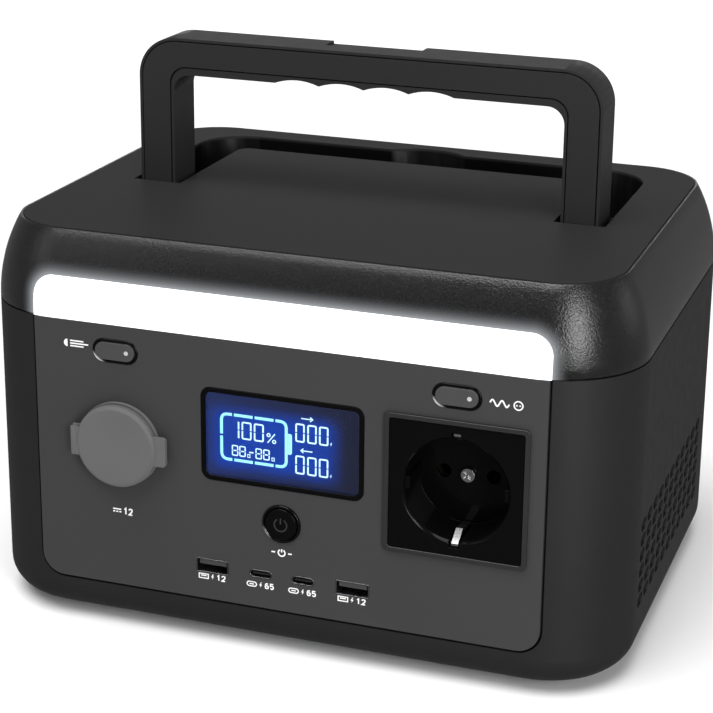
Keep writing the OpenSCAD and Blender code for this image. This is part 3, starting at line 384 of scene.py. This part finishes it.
SOFT_EDGES = {
    "upper_shell": 0.35, "deck_plate": 0.5, "front_panel": 0.3, "lcd_bezel": 0.25,
    "led_bezel": 0.2, "ac_bezel": 0.2, "power_bezel": 0.25, "led_button": 0.3, "ac_button": 0.3,
    "power_button": 0.4, "dc_socket": 0.2, "dc_cap": 0.5, "dc_tether": 0.3, "outlet_frame": 0.4,
    "outlet_insert": 0.25, "handle_body": 0.7, "handle_cover": 0.5, "feet": 0.5,
    "inlet_jack": 0.3, "outlet_screw": 0.15, "usb_a1_shell": 0.1, "usb_a2_shell": 0.1,
    "usb_c1_shell": 0.1, "usb_c2_shell": 0.1, "outlet_clips": 0.15,
}
for node, width in SOFT_EDGES.items():
    soften(nodes[node], width)

# ------------------------------------------------------------------ flat marks built from strokes


def arc(cx, cz, r, a0, a1, steps):
    """Points on a circle from angle a0 to angle a1, in degrees."""
    angles = [math.radians(a0 + (a1 - a0) * k / steps) for k in range(steps + 1)]
    return [(cx + r * math.cos(a), cz + r * math.sin(a)) for a in angles]


def rounded_path(points, radius, steps=4):
    """Replaces each inner corner of an open path by a short curve."""
    out = [points[0]]
    for before, corner, after in zip(points, points[1:], points[2:]):
        c = Vector(corner)
        a = c + (Vector(before) - c).normalized() * radius
        b = c + (Vector(after) - c).normalized() * radius
        for k in range(steps + 1):
            u = k / steps
            out.append(tuple(a * (1 - u) ** 2 + c * 2 * u * (1 - u) + b * u ** 2))
    out.append(points[-1])
    return out


class Marks:
    """Thin raised shapes facing the front, gathered into one mesh. Sizes in millimetres."""

    def __init__(self, name, y_front, y_back):
        self.name = name
        self.y = (y_front * MM, y_back * MM)
        self.verts, self.faces = [], []

    def face_loop(self, loop):
        """A filled outline, counter-clockwise seen from the front."""
        n, base = len(loop), len(self.verts)
        for y in self.y:
            self.verts += [(x * MM, y, z * MM) for x, z in loop]
        self.faces.append(tuple(base + k for k in range(n)))
        self.faces.append(tuple(base + n + k for k in reversed(range(n))))
        for k in range(n):
            j = (k + 1) % n
            self.faces.append((base + k, base + n + k, base + n + j, base + j))

    def stroke(self, points, width, closed=False):
        """A line of even width along the points."""
        pts = [Vector(p) for p in points]
        n = len(pts)
        sides = []
        for k, p in enumerate(pts):
            before = pts[k - 1] if (k or closed) else None
            after = pts[(k + 1) % n] if (k < n - 1 or closed) else None
            ways = []
            if before is not None:
                ways.append((p - before).normalized())
            if after is not None:
                ways.append((after - p).normalized())
            way = sum(ways, Vector((0, 0)))
            way = way.normalized() if way.length > 1e-6 else ways[0]
            across = Vector((-way.y, way.x))
            # a mitred corner is wider than the line, but not without limit
            cos_half = max(0.35, across.dot(Vector((-ways[0].y, ways[0].x))))
            half = width / 2 / cos_half
            sides.append((p + across * half, p - across * half))
        base = len(self.verts)
        for left, right in sides:
            for y in self.y:
                self.verts.append((left.x * MM, y, left.y * MM))
                self.verts.append((right.x * MM, y, right.y * MM))
        count = n if closed else n - 1
        for k in range(count):
            a, b = base + 4 * k, base + 4 * ((k + 1) % n)
            # each point gives left front 0, right front 1, left back 2, right back 3
            self.faces.append((a, a + 1, b + 1, b))
            self.faces.append((a + 2, b + 2, b + 3, a + 3))
            self.faces.append((a, b, b + 2, a + 2))
            self.faces.append((a + 1, a + 3, b + 3, b + 1))
        if not closed:
            last = base + 4 * (n - 1)
            self.faces.append((base, base + 2, base + 3, base + 1))
            self.faces.append((last, last + 1, last + 3, last + 2))

    def dot(self, x, z, r):
        self.face_loop(arc(x, z, r, 0, 337.5, 15))

    def build(self, material, body):
        mesh = bpy.data.meshes.new(self.name)
        mesh.from_pydata(self.verts, [], self.faces)
        mesh.validate()
        mesh.update()
        obj = bpy.data.objects.new(self.name, mesh)
        bpy.context.scene.collection.objects.link(obj)
        obj.data.materials.append(material.material)
        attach(obj, body)


# each figure is one line of points in a box one wide and one high
DIGITS = {
    "1": [(0.15, 0.78), (0.55, 1.0), (0.55, 0.0)],
    "2": [(0.02, 0.76), (0.12, 0.92), (0.5, 1.0), (0.88, 0.92), (0.96, 0.72), (0.8, 0.48), (0.02, 0.0),
          (1.0, 0.0)],
    "5": [(0.95, 1.0), (0.12, 1.0), (0.06, 0.56), (0.5, 0.64), (0.9, 0.52), (0.97, 0.3), (0.85, 0.08),
          (0.5, 0.0), (0.02, 0.12)],
    "6": [(0.88, 0.92), (0.5, 1.0), (0.14, 0.84), (0.02, 0.4), (0.14, 0.08), (0.5, 0.0), (0.88, 0.1),
          (0.97, 0.32), (0.85, 0.52), (0.5, 0.6), (0.08, 0.42)],
}


def number(marks, text, x, z, height, width, pitch, stroke):
    """Writes plain figures whose lower left corner is (x, z)."""
    for k, figure in enumerate(text):
        marks.stroke([(x + k * pitch + u * width, z + v * height) for u, v in DIGITS[figure]], stroke)


def bolt(marks, x, z, height):
    """A small energy mark."""
    shape = [(0.55, 1.0), (0.05, 0.42), (0.42, 0.42), (0.3, 0.0), (0.85, 0.6), (0.48, 0.6), (0.78, 1.0)]
    marks.face_loop([(x + u * height * 0.62, z + v * height) for u, v in shape])


def power_sign(marks, x, z, r, stroke):
    """A ring open at the top with a short bar in the gap."""
    marks.stroke(arc(x, z, r, 122, 418, 28), stroke)
    marks.stroke([(x, z + r * 1.12), (x, z + r * 0.15)], stroke)


def print_labels():
    """Signs beside and under the controls and ports, printed in white on the panel."""
    m = Marks("panel_print", FRONT_MM - 0.035, FRONT_MM + 0.02)
    # lamp with three beams, beside the light button
    x, z = -88.4, 115.4
    m.face_loop(arc(x + 1.6, z, 1.5, 90, 270, 14))
    for k, length in ((-1, 5.6), (0, 7.6), (1, 5.6)):
        m.stroke([(x + 2.7, z + k * 1.05), (x + 2.7 + length, z + k * 1.05)], 0.52)
    # wave and socket, beside the outlet button
    x, z = 79.2, 113.9
    m.stroke([(x + 7.0 * k / 24, z + 1.15 * math.sin(4 * math.pi * k / 24)) for k in range(25)], 0.56)
    m.stroke(arc(x + 10.4, z, 1.6, 0, 345, 23), 0.48, closed=True)
    m.dot(x + 9.8, z, 0.3)
    m.dot(x + 11.0, z, 0.3)
    # steady current and its volts, under the round socket
    x, z = -69.6, 48.3
    m.stroke([(x, z + 1.75), (x + 3.4, z + 1.75)], 0.52)
    for k in range(3):
        m.stroke([(x + k * 1.3, z + 0.7), (x + 0.8 + k * 1.3, z + 0.7)], 0.52)
    number(m, "12", x + 4.6, z, 2.4, 1.35, 2.1, 0.56)
    # power sign under the power button
    power_sign(m, 0.0, 42.6, 1.35, 0.54)
    for s in (-1, 1):
        m.stroke([(s * 2.6, 42.6), (s * 4.1, 42.6)], 0.54)
    # port, energy mark and watts under each port
    ports = {"usb_a1_shell": "12", "usb_c1_shell": "65", "usb_c2_shell": "65", "usb_a2_shell": "12"}
    for port, watts in ports.items():
        lo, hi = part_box(port)
        x, z = (lo.x + hi.x) / 2 / MM - 5.6, 26.7
        if "_a" in port:
            mouth = [(x, z + 0.2), (x + 3.8, z + 0.2), (x + 3.8, z + 2.0), (x, z + 2.0)]
            m.stroke(mouth, 0.42, closed=True)
            m.stroke([(x + 0.75, z + 1.3), (x + 3.05, z + 1.3)], 0.46)
        else:
            ends = arc(x + 0.9, z + 1.1, 0.9, 90, 270, 8) + arc(x + 2.95, z + 1.1, 0.9, -90, 90, 8)
            m.stroke(ends, 0.42, closed=True)
            m.stroke([(x + 1.0, z + 1.1), (x + 2.85, z + 1.1)], 0.42)
        bolt(m, x + 4.9, z, 2.3)
        number(m, watts, x + 7.4, z + 0.1, 2.05, 1.3, 2.05, 0.48)
    m.build(PRINT_WHITE, "case")


def power_button_sign():
    """The faint sign on the power button, which moves with the button."""
    lo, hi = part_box("power_button")
    z = (lo.z + hi.z) / 2 / MM
    m = Marks("power_sign", lo.y / MM - 0.03, lo.y / MM + 0.02)
    power_sign(m, 0.0, z, 2.5, 0.55)
    m.build(PRINT_GREY, "power_key")


# ------------------------------------------------------------------ display


def segment_figure(marks, x0, x1, z0, z1, stroke, figure):
    """A display figure of straight segments with small gaps at its waist."""
    mid, gap, corner = (z0 + z1) / 2, stroke * 0.35, stroke * 0.9
    inset = stroke / 2
    left, right, low, high = x0 + inset, x1 - inset, z0 + inset, z1 - inset
    if figure == "1":
        marks.stroke([(right, low), (right, mid - gap)], stroke)
        marks.stroke([(right, mid + gap), (right, high)], stroke)
        return
    for end, side in ((high, 1), (low, -1)):
        near_mid = mid + side * gap
        outline = [(left, near_mid), (left, end), (right, end), (right, near_mid)]
        marks.stroke(rounded_path(outline, corner), stroke)
    if figure == "8":
        marks.stroke([(left + stroke, mid), (right - stroke, mid)], stroke)


def display_battery(y_front, y_back):
    """The battery symbol: a broken outline and a terminal."""
    m = Marks("display_battery", y_front, y_back)
    width, corner, gap = 1.12, 2.6, 0.42
    left, right, high, low, waist = -24.4, 1.5, 95.1, 77.1, 86.6
    cuts = [left + (right - left) * part for part in (0.18, 0.5, 0.82)]
    for z, s in ((high, 1), (low, -1)):
        left_end = [(left, waist + s * gap), (left, z), (cuts[0] - gap, z)]
        m.stroke(rounded_path(left_end, corner, 6), width)
        for start, end in zip(cuts, cuts[1:]):
            m.stroke([(start + gap, z), (end - gap, z)], width)
    right_end = [(cuts[2] + gap, high), (right, high), (right, low), (cuts[2] + gap, low)]
    m.stroke(rounded_path(right_end, corner, 6), width)
    m.face_loop([(2.13, 82.4), (3.3, 82.4), (3.75, 82.9), (3.75, 90.0), (3.3, 90.6), (2.13, 90.6)])
    m.build(LIT_CYAN, "case")


def display_figures(y_front, y_back):
    """The charge, the time left, and the power in and out."""
    m = Marks("display_figures", y_front, y_back)
    # the charge and its percent sign
    for x0, x1, figure in ((-18.6, -17.2, "1"), (-16.3, -12.3, "0"), (-11.4, -7.4, "0")):
        segment_figure(m, x0, x1, 85.8, 92.9, 0.62, figure)
    m.stroke([(-5.9, 85.9), (-3.0, 89.7)], 0.45)
    for x, z in ((-5.5, 89.0), (-3.3, 86.6)):
        m.stroke(arc(x, z, 0.62, 0, 330, 11), 0.4, closed=True)
    # two pairs of small figures with a dash between them, and a small box after each pair
    for x in (-20.3, -17.3, -10.8, -7.7):
        segment_figure(m, x, x + 2.6, 78.8, 83.1, 0.46, "8")
    m.stroke([(-13.3, 81.0), (-11.6, 81.0)], 0.5)
    for x in (-13.9, -4.2):
        m.stroke([(x, 78.9), (x, 80.1), (x + 0.9, 80.1), (x + 0.9, 78.9)], 0.26, closed=True)
    # two rows of three figures, each with an energy mark
    for top in (95.3, 82.6):
        for x in (5.1, 9.8, 14.4):
            segment_figure(m, x, x + 3.7, top - 7.4, top, 0.62, "0")
        bolt(m, 18.7, top - 7.3, 1.5)
    # arrows in and out above the two rows
    x = 9.6
    for z, s in ((97.4, 1), (84.7, -1)):
        m.stroke([(x - 2.2, z), (x + 2.2, z)], 0.4)
        m.stroke([(x + s * 1.3, z + 0.85), (x + s * 2.3, z), (x + s * 1.3, z - 0.85)], 0.4)
    m.build(LIT_WHITE, "case")


def display():
    """The lit marks, halfway between the back of the glass and the face of the screen."""
    glass_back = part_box("lcd_window")[1].y / MM
    screen_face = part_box("lcd_screen")[0].y / MM
    middle = (glass_back + screen_face) / 2
    display_battery(middle - 0.03, middle + 0.05)
    display_figures(middle - 0.03, middle + 0.05)


print_labels()
power_button_sign()
display()

# ------------------------------------------------------------------ studio


def floor():
    """A pale square floor, wide enough to fill the view."""
    mesh = bpy.data.meshes.new("floor")
    half = 9.0
    corners = [(-half, -half, 0), (half, -half, 0), (half, half, 0), (-half, half, 0)]
    mesh.from_pydata(corners, [], [(0, 1, 2, 3)])
    obj = bpy.data.objects.new("floor", mesh)
    bpy.context.scene.collection.objects.link(obj)
    t = surface("floor_pale", (0.86, 0.86, 0.86), 0.8, mottle=0.01, patch=4.0, specular=0.1)
    obj.data.materials.append(t.material)
    # reflections see the darker room instead of the lit floor
    obj.visible_glossy = False


def area_light(name, place, target, size, power):
    """A soft panel that the camera doesn't see, turned to face its target."""
    data = bpy.data.lights.new(name, "AREA")
    data.shape = "RECTANGLE"
    data.size, data.size_y = size
    data.energy = power
    obj = bpy.data.objects.new(name, data)
    obj.location = place
    obj.rotation_euler = (Vector(target) - Vector(place)).to_track_quat("-Z", "Y").to_euler()
    obj.visible_camera = False
    bpy.context.scene.collection.objects.link(obj)


def sun_light(name, towards, angle, strength):
    """A very wide soft light from one side of the sky."""
    data = bpy.data.lights.new(name, "SUN")
    data.angle = math.radians(angle)
    data.energy = strength
    obj = bpy.data.objects.new(name, data)
    obj.rotation_euler = Vector(towards).to_track_quat("Z", "Y").to_euler()
    bpy.context.scene.collection.objects.link(obj)


# name, place, target, size (metres), power (watts)
SOFT_PANELS = (
    ("left_soft", (-0.75, -0.75, 0.6), (-0.1, -0.05, 0.14), (0.3, 0.7), 0.9),
    ("back_soft", (-0.4, 1.4, 0.2), (0, 0.05, 0.12), (1.0, 0.3), 1.9),
    ("side_soft", (1.5, 0.7, 0.35), (0.1, 0, 0.1), (0.6, 0.4), 0.8),
    # the long highlight on the shoulder's right front corner
    ("corner_strip", (0.72, -0.82, 0.34), (0.1, -0.09, 0.14), (0.3, 0.66), 7.6),
)


def studio():
    floor()
    world = bpy.data.worlds.new("studio")
    world.use_nodes = True
    background = world.node_tree.nodes["Background"]
    background.inputs["Color"].default_value = (1.0, 1.0, 1.0, 1.0)
    background.inputs["Strength"].default_value = 0.2
    bpy.context.scene.world = world
    sun_light("sky", (-0.1, -0.3, 1.0), 48.0, 3.3)
    for panel in SOFT_PANELS:
        area_light(*panel)


CAMERA_PLACE = (0.2576, -0.7486, 0.3701)
# degrees: turned to the left, tilted down, rolled
CAMERA_ANGLES = (18.5, 17.58, 0.87)


def camera():
    """The photograph's view."""
    data = bpy.data.cameras.new("camera")
    data.sensor_width = 36.0
    data.lens = 102.8
    data.shift_x, data.shift_y = -0.042, -0.1
    data.clip_start, data.clip_end = 0.05, 40.0
    cam = bpy.data.objects.new("camera", data)
    turn, tilt, roll = (math.radians(angle) for angle in CAMERA_ANGLES)
    ahead = Vector((-math.sin(turn) * math.cos(tilt), math.cos(turn) * math.cos(tilt),
                    -math.sin(tilt)))
    right = Vector((math.cos(turn), math.sin(turn), 0.0))
    up = right.cross(ahead)
    side = right * math.cos(roll) + up * math.sin(roll)
    top = -right * math.sin(roll) + up * math.cos(roll)
    turned = Matrix((side, top, -ahead)).transposed().to_4x4()
    cam.matrix_world = Matrix.Translation(CAMERA_PLACE) @ turned
    bpy.context.scene.collection.objects.link(cam)
    bpy.context.scene.camera = cam


camera()
studio()
bpy.context.scene.view_settings.view_transform = "Standard"
